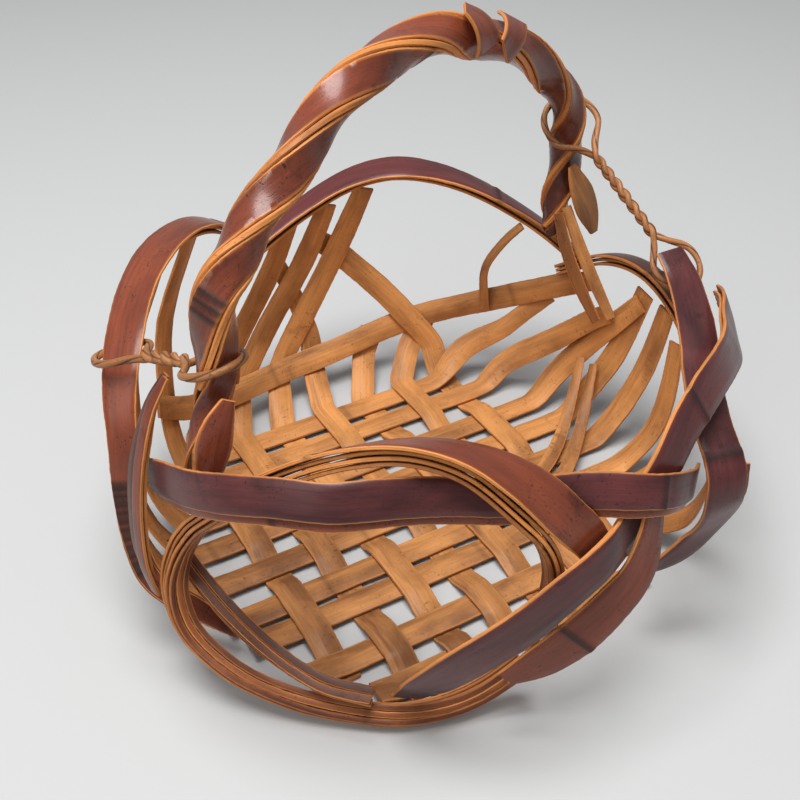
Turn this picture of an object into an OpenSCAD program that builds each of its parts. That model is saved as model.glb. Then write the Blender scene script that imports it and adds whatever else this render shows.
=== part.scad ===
/* [Basket body] */
// radius of the flat floor, to where the wall starts to rise
floor_r = 86; // [84:1:88]
// radius of the wall where it is widest, to the middle of the strips
wall_r = 113; // [110:1:116]
// height at which the wall is widest
belly_z = 65; // [62:1:68]
// height of the rim at the top of the front loop
rim_z = 112; // [109:1:115]
// radius of the mouth at the rim height
mouth_r = 94; // [92:1:96]
// turn of the floor plaiting against the handle's own axes
plait_turn = -15; // [-17:1:-13]

/* [Strips] */
// thickness of every bamboo strip
strip_t = 1.3; // [1.1:0.05:1.4]
// clear gap between strips that cross or lie together
strip_gap = 0.4; // [0.35:0.05:0.45]
// width of the plaited floor strips
floor_w = 10.5; // [9.5:0.5:11]
// width of the broad smooth-skinned rim strips
rim_w = 15; // [13:0.5:15.5]
// width of the narrow strips packed on edge in the rim bundles
bundle_w = 7; // [6:0.5:7.5]

/* [Handle] */
// height of the top of the handle above the rim height
handle_rise = 74; // [68:1:80]
// half of the handle's span, foot to foot
handle_half = 102; // [100:1:103]
// turn of the handle's plane about the upright axis
handle_turn = 7; // [6:0.5:8]
// shift of the handle's plane across the basket
handle_shift = 9; // [8:0.5:10]
// radius from the handle's axis to the broad wrapping strips
wrap_r = 5; // [4.8:0.1:5.4]
// width of the broad wrapping strips
wrap_w = 8.8; // [8.4:0.2:9]
// turns that the wrapping makes from foot to foot
wrap_turns = 3.4; // [3:0.1:3.8]

/* [Ties] */
// diameter of one strand of the rattan ties
rattan_d = 2.4; // [2:0.1:2.6]

/* [Hidden] */
// distance between the middles of two strips laid face to face
layer = strip_t + strip_gap;
// height of the long floor strips: a cross strip passes under them at the ground
long_z = strip_t / 2 + layer;
// margin beside a long strip before a cross strip bends over or under it
bend_room = 1.3;
// distance over which a strip stays level past the edge of the floor
level_run = 4;
// radius at which the plain floor strips stop against the rim bundle
floor_end_r = floor_r + 5;
// how much further the front strips run, up to the ring bundle
front_reach = 2.4;
// places of the floor strips' rows and columns, from the middle, as shares of the floor's radius
row_shares = [-0.826, -0.616, -0.36, -0.209, 0.012, 0.233, 0.419, 0.663, 0.826];
rows = [for (share = row_shares) share * floor_r];
// rows that the cross strips pass together: first row, last row
row_groups = [[0, 0], [1, 1], [2, 3], [4, 4], [5, 6], [7, 8]];
column_shares = [-0.733, -0.5, -0.267, -0.035, 0.198, 0.43, 0.663];
columns = [for (share = column_shares) share * floor_r];

// ---- vectors and smooth paths ----
function unit(v) = v / norm(v);
function xyz(k) = [k[0], k[1], k[2]];
// smooth curve through the middle two of four keys
function curve(a, b, c, d, t) =
    0.5 * (2 * b + (c - a) * t + (2 * a - 5 * b + 4 * c - d) * t * t
        + (3 * b - a - 3 * c + d) * t * t * t);
// a key is [x, y, z, tilt, width, steps to the next key]
function path(keys) = let (last = len(keys) - 1) [
    for (i = [0 : last - 1])
        let (a = keys[max(i - 1, 0)], b = keys[i], c = keys[i + 1], d = keys[min(i + 2, last)])
        for (s = [0 : b[5] - 1])
            b[5] == 1 ? b : curve(a, b, c, d, s / b[5]),
    keys[last]
];
function tangent(p, i) = unit(p[min(i + 1, len(p) - 1)] - p[max(i - 1, 0)]);

// ---- the bowl that the strips follow ----
function wall_radius(z) = z < belly_z
    ? floor_r + (wall_r - floor_r) * sqrt(max(0, 1 - pow(1 - max(z, 0) / belly_z, 2)))
    : wall_r - (wall_r - mouth_r) * pow((z - belly_z) / (rim_z - belly_z), 2);
function floor_rise(r) = r <= floor_r ? 0
    : belly_z * (1 - sqrt(1 - pow((r - floor_r) / (wall_r - floor_r), 2)));
// how far out the level of the floor is kept, so that no strip edge dips below it
function past_floor(r) =
    max(0, r - floor_r - level_run * (wall_r - r) / (wall_r - floor_r));
// direction out of the bowl at a point
function outward(p) =
    let (r = max(norm([p[0], p[1]]), 0.01), z = p[2])
    z < belly_z
        ? unit([p[0] / r * past_floor(r) / pow(wall_r - floor_r, 2),
            p[1] / r * past_floor(r) / pow(wall_r - floor_r, 2),
            -(belly_z - z) / pow(belly_z, 2)])
        : unit([p[0] / r, p[1] / r,
            2 * (wall_r - mouth_r) * (z - belly_z) / pow(rim_z - belly_z, 2)]);
// key on the wall: angle, height in percent of the rim, distance out from the wall
function on_wall(angle, height, out, tilt, w, steps = 4) =
    let (z = rim_z * height / 100, r = wall_radius(z) + out)
    [r * cos(angle), r * sin(angle), z, tilt, w, steps];
// key on the plaiting's own surface, a number of layers in from the long strips
function plait_key(q, layers, w, steps) =
    let (p = q - outward(q) * (long_z + layers * layer))
    [p[0], p[1], p[2], 0, w, steps];
// key on the floor: across and along the plaiting
function on_floor(u, v, layers, w, steps = 1) =
    let (
        x = u * cos(plait_turn) - v * sin(plait_turn),
        y = u * sin(plait_turn) + v * cos(plait_turn)
    ) plait_key([x, y, floor_rise(norm([x, y]))], layers, w, steps);
// key on the plaited wall: angle, height in percent of the rim
function on_side(angle, height, layers, w, steps = 3) =
    let (z = rim_z * height / 100, r = wall_radius(z))
    plait_key([r * cos(angle), r * sin(angle), z], layers, w, steps);

// ---- a strip: a flat section carried along a path ----
function section_ring(p, n, w_dir, w) = [
    p + w_dir * w / 2 + n * strip_t / 2,
    p - w_dir * w / 2 + n * strip_t / 2,
    p - w_dir * w / 2 - n * strip_t / 2,
    p + w_dir * w / 2 - n * strip_t / 2
];
module ribbon(points, normals, widths) {
    count = len(points);
    rings = [
        for (i = [0 : count - 1])
            let (
                t = tangent(points, i),
                n = unit(normals[i] - (normals[i] * t) * t)
            )
            each section_ring(points[i], n, cross(t, n), widths[i])
    ];
    sides = [
        for (i = [0 : count - 2], k = [0 : 3])
            let (a = i * 4 + k, b = i * 4 + (k + 1) % 4)
            each [[a, b, a + 4], [b, b + 4, a + 4]]
    ];
    last = (count - 1) * 4;
    ends = [[0, 2, 1], [0, 3, 2], [last, last + 1, last + 2], [last, last + 2, last + 3]];
    polyhedron(points = rings, faces = concat(sides, ends));
}
// strip that follows the bowl; depth moves it along its own face, side along its width
module strip(keys, depth = 0, side = 0, width = 0) {
    line = path(keys);
    mid = [for (k = line) xyz(k)];
    normals = [
        for (i = [0 : len(mid) - 1])
            let (
                t = tangent(mid, i),
                o = outward(mid[i]),
                n = unit(o - (o * t) * t),
                w = cross(t, n)
            )
            n * cos(line[i][3]) + w * sin(line[i][3])
    ];
    moved = [
        for (i = [0 : len(mid) - 1])
            mid[i] + normals[i] * depth + cross(tangent(mid, i), normals[i]) * side
    ];
    widths = [for (k = line) width > 0 ? min(width, k[4]) : k[4]];
    ribbon(moved, normals, widths);
}

// ---- floor and wall plaiting ----
// long strips run straight; each end stops on the floor or climbs the wall
module floor_long(i, left_wall = [], right_wall = [], end_lift = 0) {
    v = rows[i];
    reach = sqrt(pow(floor_end_r, 2) - v * v);
    left_reach = sqrt(pow(floor_end_r + (i < 4 ? front_reach : 0), 2) - v * v);
    stops = [for (u = [-80 : 10 : 80]) if (abs(u) < reach - 6) u];
    keys = concat(
        left_wall,
        [on_floor(2 - left_reach, v, 0, floor_w, 1)],
        [for (u = stops) on_floor(u, v, 0, floor_w, 1)],
        [on_floor(reach - 2, v, end_lift, floor_w, len(right_wall) > 0 ? 3 : 1)],
        right_wall
    );
    strip(keys);
}
// cross strips go over one group of rows and under the next
function weave_keys(j, drop = 0) = let (u = columns[j], limit = sqrt(pow(floor_end_r, 2) - u * u)) [
    for (g = [0 : len(row_groups) - 1])
        let (
            lo = rows[row_groups[g][0]] - floor_w / 2 - bend_room,
            hi = rows[row_groups[g][1]] + floor_w / 2 + bend_room,
            side = (g + j) % 2 == 0 ? 1 : -1
        )
        if (lo > -limit + 1)
            let (parts = ceil((hi - lo) / 7))
            for (k = [0 : parts])
                let (sunk = g == len(row_groups) - 1 ? max(0, k - parts + 2) * drop : 0)
                on_floor(u, lo + (hi - lo) * k / parts, side - sunk, floor_w, 1)
];
module floor_cross(j, back_wall, drop = 0) {
    strip(concat(weave_keys(j, drop), back_wall));
}

module floor_long_1() { color([0.72, 0.48, 0.25]) floor_long(0); }
module floor_long_2() {
    color([0.72, 0.48, 0.25])
        floor_long(1, [], [on_side(-56, 14, 0, floor_w), on_side(-60, 28, 1, floor_w),
            on_side(-64, 42, 2, 9)]);
}
module floor_long_3() {
    color([0.72, 0.48, 0.25])
        floor_long(2, [], [on_side(-37, 14, 0, floor_w), on_side(-37, 28, 0, floor_w),
            on_side(-36, 44, 0, 9)]);
}
module floor_long_4() {
    color([0.72, 0.48, 0.25])
        floor_long(3, [], [on_side(-27, 14, 0, floor_w), on_side(-26, 30, 0, floor_w),
            on_side(-24, 50, 0, 9)]);
}
module floor_long_5() {
    color([0.72, 0.48, 0.25])
        floor_long(4,
            [on_side(137, 84.6, 0, 9), on_side(147, 56, 0, floor_w),
                on_side(156, 30, 0, floor_w), on_side(161, 14, 0, floor_w)],
            [on_side(-15, 14, 0, floor_w), on_side(-17, 34, 0, floor_w), on_side(-19, 59, 0, 9)]);
}
module floor_long_6() {
    color([0.72, 0.48, 0.25])
        floor_long(5,
            [on_side(127, 88.4, 0, 9), on_side(135, 57, 0, floor_w),
                on_side(143, 32, 0, floor_w), on_side(149, 14, 0, floor_w)],
            [on_side(-4, 12, 0, floor_w), on_side(-8, 32, 0, floor_w), on_side(-12, 60, 0, 9)]);
}
module floor_long_7() {
    color([0.72, 0.48, 0.25])
        floor_long(6,
            [on_side(116, 90, 0, 9), on_side(124, 57, 0, floor_w),
                on_side(132, 32, 0, floor_w), on_side(138, 14, 0, floor_w)],
            [on_side(6, 12, 0, floor_w), on_side(0, 28, 0.5, floor_w),
                on_side(-7, 44, 1.3, 9), on_side(-12, 56, 1.3, 8)]);
}
module floor_long_8() {
    color([0.72, 0.48, 0.25])
        floor_long(7,
            [on_side(105, 88.1, 0, 9), on_side(110.5, 57, 0, floor_w),
                on_side(116, 32, 0, floor_w), on_side(121, 14, 0, floor_w)],
            [on_side(20, 10, 0, floor_w), on_side(9, 24, 0.8, floor_w),
                on_side(0, 39, 2.4, 9), on_side(-5, 46, 2.6, 8)]);
}
module floor_long_9() {
    color([0.72, 0.48, 0.25])
        floor_long(8, [], [on_side(32, 12, 0, floor_w), on_side(23, 22, 0, 9),
            on_side(18.5, 30, 0, 7)], 1.2);
}
// broad strip that runs round the back of the wall just above the floor
module wall_weaver() {
    color([0.70, 0.45, 0.22]) strip([
        on_side(122, 32, 1.3, 9), on_side(112, 20, 1.3, floor_w),
        on_side(98, 13, 1.5, floor_w), on_side(82, 11.5, 1.5, floor_w),
        on_side(66, 13.5, 1.3, floor_w), on_side(53, 19, 0, floor_w),
        on_side(41, 25, -1, floor_w), on_side(24, 35, -0.6, floor_w),
        on_side(10, 47, 0, floor_w), on_side(2, 54, 0, 8)
    ]);
}
module floor_cross_1() {
    color([0.74, 0.50, 0.27]) floor_cross(0, [on_side(106, 12, -0.5, floor_w),
        on_side(93, 28, -0.2, floor_w), on_side(81, 50, 0, floor_w), on_side(75, 72.7, 0, 9)]);
}
module floor_cross_2() {
    color([0.74, 0.50, 0.27]) floor_cross(1, [on_side(95, 12, -0.4, floor_w),
        on_side(83, 30, 0, floor_w), on_side(72, 52, 0, floor_w), on_side(66, 78.6, 0, 9)]);
}
module floor_cross_3() {
    color([0.74, 0.50, 0.27]) floor_cross(2, [on_side(83, 11, -0.4, floor_w),
        on_side(73, 30, 0, floor_w), on_side(64, 54, 0, floor_w), on_side(57.5, 84.9, 0, 9)]);
}
module floor_cross_4() {
    color([0.74, 0.50, 0.27]) floor_cross(3, [on_side(73, 10, -0.6, floor_w),
        on_side(72, 22, -1.1, 9), on_side(75, 42, -1.2, 8), on_side(78, 56, -1.2, 7)]);
}
module floor_cross_5() {
    color([0.74, 0.50, 0.27]) floor_cross(4, [on_side(59, 9, -0.6, floor_w)]);
}
module floor_cross_6() {
    color([0.74, 0.50, 0.27]) floor_cross(5, [on_side(47, 10, 0, floor_w)]);
}
module floor_cross_7() {
    color([0.74, 0.50, 0.27]) floor_cross(6, [on_side(40.5, 12, -1.1, floor_w),
        on_side(47, 24, 0.85, floor_w), on_side(54, 37, 0, floor_w),
        on_side(63, 53, -1.4, floor_w), on_side(68, 61, -1.4, 9)], 0.32);
}

// ---- front loop: strips nested on edge in one large ring ----
function front_ring_keys() = [
    on_wall(-114, 14, -11.5, -80, bundle_w), on_wall(-122, 7.5, -7, -88, bundle_w),
    on_wall(-130, 3.8, -1, -90, bundle_w), on_wall(-139, 2.85, 3.5, -90, bundle_w),
    on_wall(-150, 3.4, 4.5, -90, bundle_w), on_wall(-160, 6, 5.5, -90, bundle_w),
    on_wall(-170, 12, 6, -90, bundle_w), on_wall(-179, 21, 4, -90, bundle_w),
    on_wall(-183, 34, -0.5, -90, bundle_w), on_wall(-183, 47, -6, -90, bundle_w),
    on_wall(-179, 60, -8.5, -90, bundle_w), on_wall(-172, 73, -6, -90, bundle_w),
    on_wall(-162, 88, -3, -90, 9), on_wall(-151, 97.5, -0.5, -88, 10),
    on_wall(-139, 101, 0, -78, 12)
];
// the broad strip turns to lie flat on the wall where it comes down
module front_loop_1() {
    color([0.52, 0.28, 0.19]) strip(concat(front_ring_keys(), [
        on_wall(-127.8, 98.4, -0.5, -60, 14), on_wall(-118.5, 90, -2, -35, rim_w),
        on_wall(-111.9, 78.5, -3.4, -15, 14), on_wall(-107, 67, -6, -10, 12),
        on_wall(-105.5, 54, -9, -10, 9), on_wall(-106.5, 42, -10.5, -10, 5)
    ]));
}
// its narrow strips stay on edge and close the ring
function front_inner_keys() = concat(front_ring_keys(), [
    on_wall(-128, 96.6, -1.2, -85, bundle_w), on_wall(-120, 85.7, -3.5, -85, bundle_w),
    on_wall(-114.5, 74.5, -4.8, -85, bundle_w), on_wall(-112, 60, -7.5, -85, bundle_w),
    on_wall(-112, 44, -10, -85, bundle_w), on_wall(-115, 30, -10.5, -85, bundle_w)
]);
module front_loop_2() {
    color([0.70, 0.44, 0.25]) strip(front_inner_keys(), -layer, 0, bundle_w);
}
module front_loop_3() {
    color([0.70, 0.44, 0.25]) strip(front_inner_keys(), -2 * layer, 0.4, bundle_w);
}
module front_loop_4() {
    color([0.70, 0.44, 0.25]) strip(front_inner_keys(), -3 * layer, -0.3, bundle_w);
}
// strips that sweep across inside the lower left of the loop
module front_sweep(rise, spread) {
    strip([
        on_wall(-188, 36 + spread, -10, -85, 6), on_wall(-182, 28 + spread, -10, -85, 6),
        on_wall(-173, 20.5 + spread, -8.5, -85, 6), on_wall(-163, 15 + spread * 0.7, -6, -85, 6),
        on_wall(-153, 12.5 + rise, -2.5, -85, 6), on_wall(-144, 12.5 + rise, -1.5, -85, 6)
    ]);
}
module front_sweep_1() { color([0.66, 0.40, 0.23]) front_sweep(0, 0); }
module front_sweep_2() { color([0.66, 0.40, 0.23]) front_sweep(1.7, 3.5); }
module front_sweep_3() { color([0.66, 0.40, 0.23]) front_sweep(3.4, 7); }

// ---- the level band across the front and its under strip ----
function band_keys() = [
    on_wall(172.4, 69.7, -5, 0, 10), on_wall(178.4, 74.4, -3, 0, 11.5),
    on_wall(-173, 81, 2, 0, 11.5), on_wall(-165, 86.4, 5.5, 0, 11.5),
    on_wall(-157, 90, 7, 0, 11.5), on_wall(-149, 91, 6.5, 0, 11.5),
    on_wall(-142, 90.5, 1.5, 0, 11.5), on_wall(-134, 87.8, -5.6, 0, 11.5),
    on_wall(-126, 85, -9.3, 0, 11.5), on_wall(-119, 83.3, -9.8, 0, 11.5),
    on_wall(-113.6, 82.2, -9.8, 0, 11.5), on_wall(-108.5, 81.6, -9, 0, 11.5),
    on_wall(-104, 81.6, -5, 0, 11.5), on_wall(-99.5, 80.6, -0.8, 0, 11),
    on_wall(-93, 77, 0.8, 0, 10.5), on_wall(-86, 71, -2.5, 0, 10),
    on_wall(-80, 65, -7, 0, 10)
];
module front_band() { color([0.33, 0.19, 0.20]) strip(band_keys()); }
module front_band_under() { color([0.48, 0.24, 0.18]) strip(band_keys(), -layer, 2.5, 12); }

// ---- left loop, tied to the handle, and the leaf strips beside it ----
function left_loop_keys() = [
    on_wall(80, 64, 5, -70, 8), on_wall(91, 80, 4, -65, 10),
    on_wall(103, 91, 1, -58, 13), on_wall(117, 95, 0, -50, rim_w),
    on_wall(131, 93, -1.5, -45, rim_w), on_wall(145, 88, -3, -45, 14),
    on_wall(154, 78, -4, -52, 12), on_wall(159, 65, -5, -62, 10),
    on_wall(161, 50, -2.5, -68, 8), on_wall(164, 36, 0.5, -76, bundle_w),
    on_wall(169, 24, 2, -85, bundle_w), on_wall(176, 16, -4, -90, bundle_w),
    on_wall(184, 11.5, -7.5, -90, 5)
];
module left_loop_1() { color([0.52, 0.29, 0.21]) strip(left_loop_keys()); }
module left_loop_2() {
    color([0.66, 0.40, 0.23]) strip(left_loop_keys(), -layer, 0.6, bundle_w);
}
module left_loop_3() {
    color([0.66, 0.40, 0.23]) strip(left_loop_keys(), -2 * layer, -0.5, bundle_w);
}
function leaf_keys() = [
    on_wall(173.5, 31, 2.5, 5, 5, 3), on_wall(173.5, 43, 2.5, 5, 9, 3),
    on_wall(173, 57, 0.5, 5, 10, 3), on_wall(172, 71, -1, 5, 10, 3),
    on_wall(171, 82, -1.5, 0, 9, 3), on_wall(170, 90, -1.5, 0, 6, 3),
    on_wall(170, 97, -2, 0, 3)
];
module left_leaf_1() { color([0.38, 0.23, 0.16]) strip(leaf_keys()); }
module left_leaf_2() { color([0.66, 0.40, 0.22]) strip(leaf_keys(), layer, 3, 5); }

// ---- back loop ----
function back_loop_keys() = [
    on_wall(6, 58, 3.4, -65, 9), on_wall(18, 71, 2, -58, 12),
    on_wall(33, 86, 0, -58, rim_w), on_wall(48, 93, 0, -66, 14),
    on_wall(61, 89, 0, -72, 12), on_wall(74, 79, -4, -75, 10),
    on_wall(87, 70, -8, -75, 9), on_wall(98, 63, -9.5, -75, 7)
];
module back_loop_1() { color([0.30, 0.17, 0.17]) strip(back_loop_keys()); }
module back_loop_2() {
    color([0.58, 0.34, 0.20]) strip(back_loop_keys(), -layer, 0.5, bundle_w);
}
module back_loop_3() {
    color([0.58, 0.34, 0.20]) strip(back_loop_keys(), -2 * layer, -0.5, bundle_w);
}

// ---- right-back loop ----
function right_back_keys() = [
    on_wall(-36, 52, -1, -70, 8), on_wall(-27, 60, -1, -65, 10),
    on_wall(-17, 67, 0, -60, 12), on_wall(-8, 69.5, 0, -60, 12),
    on_wall(1, 66, -2, -65, 11), on_wall(10, 58, -8.6, -70, 8)
];
module right_back_loop_1() { color([0.42, 0.25, 0.17]) strip(right_back_keys()); }
module right_back_loop_2() {
    color([0.58, 0.35, 0.20]) strip(right_back_keys(), -layer, 0.5, bundle_w);
}
module right_back_loop_3() {
    color([0.58, 0.35, 0.20]) strip(right_back_keys(), -2 * layer, -0.5, bundle_w);
}

// ---- right side: the inner-to-outer strip, the bulging strip and the lower one ----
function right_fold_keys() = [
    on_wall(-72, 76, -6, 50, 14), on_wall(-77, 68, 1, 44, 14),
    on_wall(-78, 58, 2, 40, 14), on_wall(-76, 48, 0.5, 38, 14),
    on_wall(-75, 38, -2.5, 35, 14), on_wall(-78, 31, -6.5, 30, 12),
    on_wall(-83, 27, -12, 20, 8)
];
function right_outer_keys() = concat([
    on_wall(-18, 83, 2, 75, 11), on_wall(-24, 78, -1, 72, 13),
    on_wall(-36, 75, -8, 66, 14), on_wall(-49, 76, -12, 60, 14),
    on_wall(-62, 79, -11, 54, 14)
], right_fold_keys());
module right_outer() { color([0.31, 0.18, 0.20]) strip(right_outer_keys()); }
module right_outer_twin() {
    color([0.40, 0.21, 0.17]) strip([for (i = [1 : 6]) right_fold_keys()[i]], -layer, -4, 10);
}
function bulge_keys() = [
    on_wall(-29, 75, 8.5, 0, 7), on_wall(-35, 78, 6, 0, 11),
    on_wall(-44, 80, 1.5, 5, 14), on_wall(-54, 84, 0.5, 5, 14),
    on_wall(-65, 88.5, 0, 0, 14), on_wall(-76, 89.5, -1, 0, 14),
    on_wall(-84.5, 86, -3, 0, 14), on_wall(-90, 81, -4, 0, 14),
    on_wall(-94.5, 74, -6.6, 0, 14), on_wall(-100, 67.5, -6.2, 0, 14),
    on_wall(-107, 66.5, -1, 0, 14), on_wall(-114.5, 61.5, 1, 0, 14),
    on_wall(-121.2, 52.7, 1.5, 0, 14), on_wall(-128.2, 41.9, 1, 0, 14),
    on_wall(-134, 27.4, -1, 0, 13), on_wall(-138, 15.3, -3, 0, 9)
];
module right_bulge() { color([0.33, 0.19, 0.21]) strip(bulge_keys()); }
module right_bulge_twin() {
    color([0.68, 0.42, 0.25]) strip(bulge_keys(), -layer, 1.8, 12);
}
module right_lower() {
    color([0.50, 0.26, 0.19]) strip([
        on_wall(-95, 73, -4.2, 0, 8), on_wall(-97, 66, -2.9, 0, 11),
        on_wall(-99.5, 54, -2, 20, 13), on_wall(-104, 44, -2.5, 28, 13.5),
        on_wall(-109, 34, -3, 28, 13), on_wall(-114.5, 24, -4, 25, 12),
        on_wall(-120, 18, -4.5, 25, 9)
    ]);
}

// ---- handle ----
// middle line of the handle: share of the half span, share of the rise above the rim
handle_line = [
    [-0.975, -0.4], [-0.91, -0.17], [-0.86, 0.01], [-0.82, 0.36], [-0.7, 0.54],
    [-0.54, 0.7], [-0.33, 0.89], [-0.12, 0.99], [0.15, 1], [0.37, 0.92],
    [0.68, 0.74], [0.91, 0.51], [1.035, 0.31], [1.07, 0.1], [1.04, -0.12],
    [1.02, -0.32], [1.01, -0.42]
];
function handle_keys() = [for (k = handle_line) [k[0] * handle_half, rim_z + k[1] * handle_rise, 0, 0, 0, 5]];
// from the handle's own plane into the basket
function from_handle(u, out, z) = [
    u * cos(handle_turn) - (handle_shift + out) * sin(handle_turn),
    u * sin(handle_turn) + (handle_shift + out) * cos(handle_turn),
    z
];
handle_mid = [for (k = path(handle_keys())) [k[0], k[1]]];
// share of full size near the two feet
function foot_taper(s) = min(1, 0.35 + 4.5 * min(s, 1 - s));
function handle_frame(i) =
    let (t = unit(handle_mid[min(i + 1, len(handle_mid) - 1)] - handle_mid[max(i - 1, 0)]))
    [handle_mid[i], t];
// point at a distance from the handle's middle line, turned about it
function round_handle(i, r, turn) =
    let (f = handle_frame(i), side = [-f[1][1], f[1][0]] * r * sin(turn))
    from_handle(f[0][0] + side[0], r * cos(turn), f[0][1] + side[1]);
module handle_strand(first, r, w, edge_on, from = 0, to = 1) {
    count = len(handle_mid);
    span = [for (i = [round(from * (count - 1)) : round(to * (count - 1))]) i];
    // the wrapping is left-handed: it turns back as it climbs
    turns = [for (i = span) first + 360 * wrap_turns * i / (count - 1)];
    tapers = [for (i = span) foot_taper(i / (count - 1))];
    mids = [for (k = [0 : len(span) - 1])
        round_handle(span[k], r * max(tapers[k], edge_on ? 1 : 0.8), turns[k])];
    axes = [for (k = [0 : len(span) - 1]) round_handle(span[k], 0, turns[k])];
    normals = [for (k = [0 : len(span) - 1])
        let (o = unit(mids[k] - axes[k])) edge_on ? cross(o, tangent(mids, k)) : o];
    ribbon(mids, normals, [for (t = tapers) w * t]);
}
module handle_wrap_1() { color([0.50, 0.26, 0.19]) handle_strand(0, wrap_r, wrap_w, false); }
module handle_wrap_2() { color([0.50, 0.26, 0.19]) handle_strand(120, wrap_r, wrap_w, false); }
module handle_wrap_3() { color([0.50, 0.26, 0.19]) handle_strand(240, wrap_r, wrap_w, false); }
module handle_fin_1() { color([0.72, 0.46, 0.27]) handle_strand(60, wrap_r + 1, wrap_r - 2.3, true, 0.13, 0.96); }
module handle_fin_2() { color([0.72, 0.46, 0.27]) handle_strand(180, wrap_r + 1, wrap_r - 2.3, true, 0.13, 0.96); }
module handle_fin_3() { color([0.72, 0.46, 0.27]) handle_strand(300, wrap_r + 1, wrap_r - 2.3, true, 0.13, 0.96); }
// two cut ends that close the wrapping at the top of the handle
module handle_cut_end(middle, first, sweep) {
    points = [for (s = [0 : 6])
        let (i = middle, r = wrap_r + 2.1 * layer + s * 0.1, a = first + sweep * s / 6,
            f = handle_frame(i), slide = 7 * (s / 6 - 0.5))
        round_handle(i, r, a) + (from_handle(f[1][0], 0, f[1][1]) - from_handle(0, 0, 0)) * slide];
    axis_points = [for (s = [0 : 6])
        let (f = handle_frame(middle), slide = 7 * (s / 6 - 0.5))
        round_handle(middle, 0, 0) + (from_handle(f[1][0], 0, f[1][1]) - from_handle(0, 0, 0)) * slide];
    ribbon(points, [for (s = [0 : 6]) unit(points[s] - axis_points[s])], [for (s = [0 : 6]) 10]);
}
module handle_end_1() { color([0.48, 0.27, 0.20]) handle_cut_end(43, 60, 130); }
module handle_end_2() { color([0.48, 0.27, 0.20]) handle_cut_end(48, 60, 130); }

// strips that carry the handle down to the wall
function in_handle(u, out, z, w) = let (p = from_handle(u, out, z)) [p[0], p[1], p[2], 0, w, 3];
module foot_strip(keys, face) {
    line = path(keys);
    ribbon([for (k = line) xyz(k)], [for (k = line) face], [for (k = line) k[4]]);
}
module handle_foot_left() {
    color([0.48, 0.24, 0.17]) foot_strip([
        on_wall(-171.8, 101.8, 0.7, 0, 4, 3), on_wall(-172.1, 96.4, -0.1, 0, 9, 3),
        on_wall(-172.4, 90.2, -1.9, 0, 11, 3), on_wall(-172.7, 83.9, -4.3, 0, 9, 3),
        on_wall(-173, 76.3, -7.4, 0, 3, 3)
    ], [-0.45, -0.85, 0.2]);
}
module handle_foot_right() {
    color([0.62, 0.38, 0.20]) foot_strip([
        in_handle(102, -7, rim_z + 1, 4), in_handle(103, -10, rim_z - 6, 10),
        in_handle(106, -12.2, rim_z - 14, 13), in_handle(109, -14, rim_z - 22, 10),
        in_handle(110, -16, rim_z - 29, 4)
    ], [-0.1, -0.9, 0.4]);
}
module handle_brace_1() {
    color([0.55, 0.36, 0.22]) foot_strip([
        in_handle(99.9, -7.5, rim_z - 16, 4), in_handle(99.5, -15, rim_z - 30, 5),
        in_handle(100.4, -24, rim_z - 46, 5), in_handle(101.5, -32.8, rim_z - 60.4, 4)
    ], [-0.8, -0.5, 0.3]);
}
module handle_brace_2() {
    color([0.42, 0.28, 0.18]) foot_strip([
        in_handle(96.6, -6, rim_z - 18, 4), in_handle(95.2, -12, rim_z - 32, 5),
        in_handle(96, -20, rim_z - 48, 5), in_handle(98, -28, rim_z - 62, 4)
    ], [-0.8, -0.5, 0.3]);
}

// ---- loose strips inside ----
function inside(angle, r, z, w) = [r * cos(angle), r * sin(angle), z, 0, w, 4];
module inner_brace_1() {
    color([0.76, 0.52, 0.30]) strip([
        inside(-30, 48, 5.9, 6), inside(-17, 64, 6.4, 6), inside(-7, 82, 10.5, 5),
        inside(0, 102, 27, 4)
    ]);
}
module inner_brace_2() {
    color([0.76, 0.52, 0.30]) strip([
        inside(-37, 54, 5.9, 6), inside(-24, 67, 6.4, 6), inside(-12, 84, 11, 5),
        inside(-4, 102, 27, 4)
    ]);
}
module tendril() {
    color([0.66, 0.42, 0.25]) strip([
        on_wall(20, 70, -5, 40, 3.5), on_wall(24, 62, -7, 40, 4),
        on_wall(28, 50, -8, 30, 4), on_wall(28, 38, -6.5, 20, 4.5),
        on_wall(27.5, 30, -4.5, 10, 4)
    ]);
}

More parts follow.
